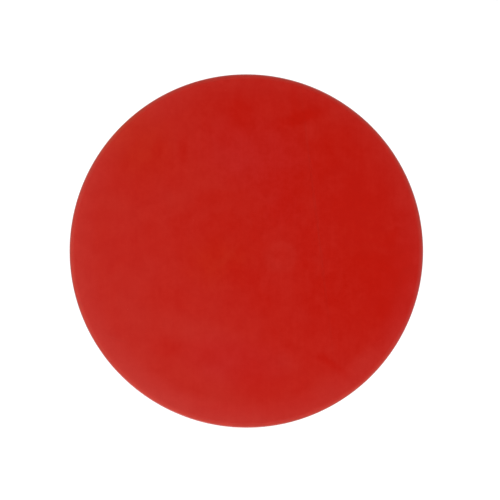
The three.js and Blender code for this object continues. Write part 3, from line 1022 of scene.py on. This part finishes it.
def cross_pin():
    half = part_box("cross_pin")[1].y / MM
    piece = turned(
        "pin",
        [(0, -half), (PIN_RADIUS, -half, 0.5), (PIN_RADIUS, half, 0.5), (0, half)],
        segments=48,
    )
    fitted(moved(piece, CROSSWISE), "handle", "cross_pin", "steel")


def handle_pipe():
    """The bent tube, swept along its centreline with a wall and open ends."""
    bend_steps = 24
    sections = [(Vector((0, 0, TUBE_BOTTOM)), 0.0)]
    for k in range(bend_steps + 1):
        angle = BEND_ANGLE * k / bend_steps
        sideways = BEND_RADIUS * (1 - math.cos(angle))
        up = BEND_RADIUS * math.sin(angle)
        sections.append((Vector((sideways, 0, BEND_START + up)), angle))
    sections.append((BEND_END + LEAN * GRIP_LENGTH, BEND_ANGLE))

    bm = bmesh.new()

    def ring(centre, angle, radius):
        turn = Matrix.Rotation(angle, 4, "Y")
        return [bm.verts.new(centre + turn @ Vector((x, y, 0))) for x, y in circle(radius, 96)]

    outside = [ring(centre, angle, TUBE_RADIUS) for centre, angle in sections]
    inside = [ring(centre, angle, TUBE_BORE_RADIUS) for centre, angle in reversed(sections)]
    bridge(bm, [*outside, *inside, outside[0]])
    piece = combined(new_object("handle_pipe", bm), "DIFFERENCE", pin_hole())
    fitted(piece, "handle", "handle_tube", "tube")


def grip_collar():
    bore = TUBE_RADIUS + GAP
    piece = turned(
        "collar",
        [
            (bore, COLLAR_BOTTOM, 0.3),
            (14.6, COLLAR_BOTTOM, 1),
            (15.6, COLLAR_TOP, 0.6),
            (bore, COLLAR_TOP),
        ],
        segments=128,
    )
    fitted(moved(piece, LEANING), "handle", "grip_collar", "socket")


def add_pip(bm, turn, height):
    """Adds a small raised diamond with blunt corners and a flat top to the grip's surface."""
    place = Matrix.Rotation(turn, 4, "Z") @ Matrix.Translation((GRIP_RADIUS, 0, height))
    corners = []
    for y, z in ((1, 0), (0, 1), (-1, 0), (0, -1)):
        for side in (-PIP_BLUNT, PIP_BLUNT):
            corners.append((y - z * side, z + y * side))
    rings = []
    for out, half_width, half_height in PIP_PROFILE:
        ring = [Vector((out, y * half_width, z * half_height)) for y, z in corners]
        rings.append([bm.verts.new(place @ point) for point in ring])
    bm.faces.new(rings[0][::-1])
    bm.faces.new(rings[-1])
    bridge(bm, rings)


def grip_rubber():
    """The grip: rounded bands between grooves, each band with a lattice of raised diamonds."""
    space = (GRIP_TOP - GRIP_BOTTOM) / GRIP_BANDS
    bore = TUBE_RADIUS + GAP
    corners = [(bore, GRIP_BOTTOM), (GRIP_RADIUS, GRIP_BOTTOM, 0.8)]
    for i in range(1, GRIP_BANDS):
        middle = GRIP_BOTTOM + i * space
        corners += [
            (GRIP_RADIUS, middle - 2.2, 1.2),
            (GRIP_RADIUS - GROOVE_DEPTH, middle - 0.9, 0.5),
            (GRIP_RADIUS - GROOVE_DEPTH, middle + 0.9, 0.5),
            (GRIP_RADIUS, middle + 2.2, 1.2),
        ]
    corners += [(GRIP_RADIUS, GRIP_TOP, 0.8), (bore, GRIP_TOP)]
    piece = turned("grip_rubber", corners, segments=144, steps=5)

    pips = bmesh.new()
    for band in range(GRIP_BANDS):
        middle = GRIP_BOTTOM + (band + 0.5) * space
        for row in PIP_ROWS:
            shift = 0.5 if row else 0
            for i in range(PIPS_ROUND):
                add_pip(pips, 2 * math.pi * (i + shift) / PIPS_ROUND, middle + row)
    combined(piece, "UNION", new_object("pips", pips))
    fitted(moved(piece, LEANING), "handle", "grip_sleeve", "grip")


def end_knob():
    """The rounded knob, with a shallow ring round the recess for its screw."""
    screw_bore = KNOB_SCREW_RADIUS + GAP
    recess = KNOB_HEAD_RADIUS + GAP
    recess_bottom = KNOB_HEAD_BOTTOM - GAP
    piece = turned(
        "knob",
        [
            (screw_bore, KNOB_BOTTOM),
            (GRIP_RADIUS + 0.3, KNOB_BOTTOM, 0.8),
            (GRIP_RADIUS + 2.5, KNOB_BOTTOM + 5.5, 8.5),
            (12, KNOB_TOP, 8),
            (7.4, KNOB_TOP, 0.3),
            (7.1, KNOB_TOP - 0.5, 0.2),
            (6.1, KNOB_TOP - 0.5, 0.2),
            (5.8, KNOB_TOP, 0.3),
            (recess, KNOB_TOP, 0.4),
            (recess, recess_bottom),
            (screw_bore, recess_bottom),
        ],
        segments=144,
        steps=10,
    )
    fitted(moved(piece, LEANING), "handle", "end_knob", "knob")


def knob_bolt():
    """The knob's screw, with a hexagon socket in its head."""
    piece = turned(
        "knob_bolt",
        [
            (0, KNOB_SCREW_BOTTOM),
            (KNOB_SCREW_RADIUS, KNOB_SCREW_BOTTOM, 0.5),
            (KNOB_SCREW_RADIUS, KNOB_HEAD_BOTTOM),
            (KNOB_HEAD_RADIUS, KNOB_HEAD_BOTTOM, 0.3),
            (KNOB_HEAD_RADIUS, KNOB_HEAD_TOP, 0.7),
            (0, KNOB_HEAD_TOP),
        ],
        segments=64,
    )
    socket = prisms("socket", hexagon(4), KNOB_HEAD_TOP - 2.2, KNOB_HEAD_TOP + 1)
    combined(piece, "DIFFERENCE", socket)
    fitted(moved(piece, LEANING), "handle", "knob_screw", "steel")


running_rubber()
carrier_plate()
base_plate()
damper("lower_cushion", "lower_damper", 1)
damper("upper_cushion", "upper_damper", -1)
impact_ring()
dome()
hub_flange()
thrust_washer()
handle_socket()
cross_pin()
handle_pipe()
grip_collar()
grip_rubber()
end_knob()
knob_bolt()

# The CAD nodes inside the stone keep their own shape and get a material each.
KEPT_NODES = {
    "sole_insert": "brass",
    "tie_bolt": "steel",
    "end_plug": "black_plastic",
    **{f"insert_screw_{i}": "steel" for i in range(1, INSERT_SCREWS + 1)},
    **{f"shell_screw_{i}": "steel" for i in range(1, SHELL_SCREWS + 1)},
}
for node, material in KEPT_NODES.items():
    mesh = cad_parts[node].data
    mesh.materials.clear()
    mesh.materials.append(materials[material])


# ---- Floor, light and camera, in metres ----

HOLE_RADIUS = 0.1369
FLOOR_RADIUS = 40

KEY_TURN = -61  # the side of the running face that gets the most light, in degrees from +X
UNDER_LIGHTS = 8  # a ring of soft lights under the floor
UNDER_POWER = 5.27
UNDER_KEY_SHARE = 0.46  # how much stronger the ring is on the key side than on average

CAMERA_DISTANCE = 1.0
CAMERA_OFF_CENTRE = (-0.0028, 0.0008)
VIEW_WIDTH = 0.3815
SENSOR_WIDTH = 36

# How bright the studio is, from straight down (-1) over the horizon (0) to straight up (1).
# Below the floor it is dark, and only the softboxes light the running face. The horizon is as
# bright as the floor, so the two meet without a line.
STUDIO_BRIGHTNESS = [
    (-1.0, 0.03),
    (-0.045, 0.03),
    (-0.012, 0.88),
    (0.16, 0.88),
    (0.5, 0.42),
    (0.97, 0.42),
    (0.985, 1.1),
]
BRIGHTEST = 1.1


def floor():
    """A pale floor with a round hole that the sole just fills."""
    bm = bmesh.new()
    rings = []
    for radius in (HOLE_RADIUS, 0.3, 2, FLOOR_RADIUS):
        rings.append([bm.verts.new((x, y, 0)) for x, y in circle(radius, 256)])
    bridge(bm, rings)
    mesh = bpy.data.meshes.new("floor")
    bm.to_mesh(mesh)
    bm.free()
    obj = bpy.data.objects.new("floor", mesh)
    bpy.context.scene.collection.objects.link(obj)
    paint = Paint("pale_floor", specular=0.1)
    tone = paint.blend(paint.noise(300), (0.93, 0.93, 0.93), (0.95, 0.95, 0.95))
    paint.feed(paint.shader.inputs["Base Color"], tone)
    paint.feed(paint.shader.inputs["Roughness"], 0.85)
    mesh.materials.append(paint.material)


def direction(turn, tilt):
    """The direction at a turn about Z and a tilt above the floor, both in degrees."""
    level = math.cos(math.radians(tilt))
    return Vector(
        (
            level * math.cos(math.radians(turn)),
            level * math.sin(math.radians(turn)),
            math.sin(math.radians(tilt)),
        )
    )


def add_light(light, turn, tilt, distance=0.0):
    """Puts a light at a distance from the origin and aims it there."""
    obj = bpy.data.objects.new(light.name, light)
    away = direction(turn, tilt)
    obj.location = away * distance
    obj.rotation_euler = away.to_track_quat("Z", "Y").to_euler()
    bpy.context.scene.collection.objects.link(obj)


def softbox(name, turn, tilt, distance, size, power):
    """A square soft light."""
    light = bpy.data.lights.new(name, "AREA")
    light.shape = "SQUARE"
    light.size = size
    light.energy = power
    add_light(light, turn, tilt, distance)


def sun(name, turn, tilt, spread, power):
    """A light that is even all over, and as soft as its spread in degrees."""
    light = bpy.data.lights.new(name, "SUN")
    light.angle = math.radians(spread)
    light.energy = power
    add_light(light, turn, tilt)


def studio():
    """A round room whose brightness depends on the height of the direction looked in."""
    world = bpy.data.worlds.new("studio")
    world.use_nodes = True
    tree = world.node_tree
    parts = tree.nodes.new("ShaderNodeSeparateXYZ")
    tree.links.new(tree.nodes.new("ShaderNodeTexCoord").outputs["Generated"], parts.inputs[0])
    position = tree.nodes.new("ShaderNodeMapRange")
    tree.links.new(parts.outputs["Z"], position.inputs["Value"])
    position.inputs["From Min"].default_value = -1
    ramp = tree.nodes.new("ShaderNodeValToRGB")
    tree.links.new(position.outputs["Result"], ramp.inputs["Fac"])
    stops = ramp.color_ramp.elements
    while len(stops) < len(STUDIO_BRIGHTNESS):
        stops.new(1.0)
    for stop, (height, brightness) in zip(stops, STUDIO_BRIGHTNESS):
        stop.position = (height + 1) / 2
        stop.color = (*(brightness / BRIGHTEST,) * 3, 1)
    background = tree.nodes["Background"]
    tree.links.new(ramp.outputs["Color"], background.inputs["Color"])
    background.inputs["Strength"].default_value = BRIGHTEST
    bpy.context.scene.world = world


def camera():
    """Straight under the sole and looking up, with +Y at the top of the picture."""
    data = bpy.data.cameras.new("camera")
    data.sensor_width = SENSOR_WIDTH
    data.lens = SENSOR_WIDTH * CAMERA_DISTANCE / VIEW_WIDTH
    data.clip_start = 0.01
    data.clip_end = 100
    obj = bpy.data.objects.new("camera", data)
    obj.location = (*CAMERA_OFF_CENTRE, -CAMERA_DISTANCE)
    obj.rotation_euler = (math.pi, 0, math.pi)
    bpy.context.scene.collection.objects.link(obj)
    bpy.context.scene.camera = obj


floor()
studio()
for i in range(UNDER_LIGHTS):
    turn = 360 * i / UNDER_LIGHTS
    towards_key = math.cos(math.radians(turn - KEY_TURN))
    power = UNDER_POWER * (1 + UNDER_KEY_SHARE * towards_key)
    softbox(f"under_ring_{i}", turn, tilt=-50, distance=1.6, size=1.0, power=power)
softbox("under_sheen", KEY_TURN, tilt=-65, distance=3.0, size=0.8, power=4)
sun("over_key", turn=-70, tilt=45, spread=40, power=1.33)
sun("over_fill", turn=130, tilt=40, spread=60, power=0.68)
camera()

scene = bpy.context.scene
scene.view_settings.view_transform = "Standard"
scene.view_settings.look = "None"
scene.view_settings.exposure = 0.0
scene.view_settings.gamma = 1.0
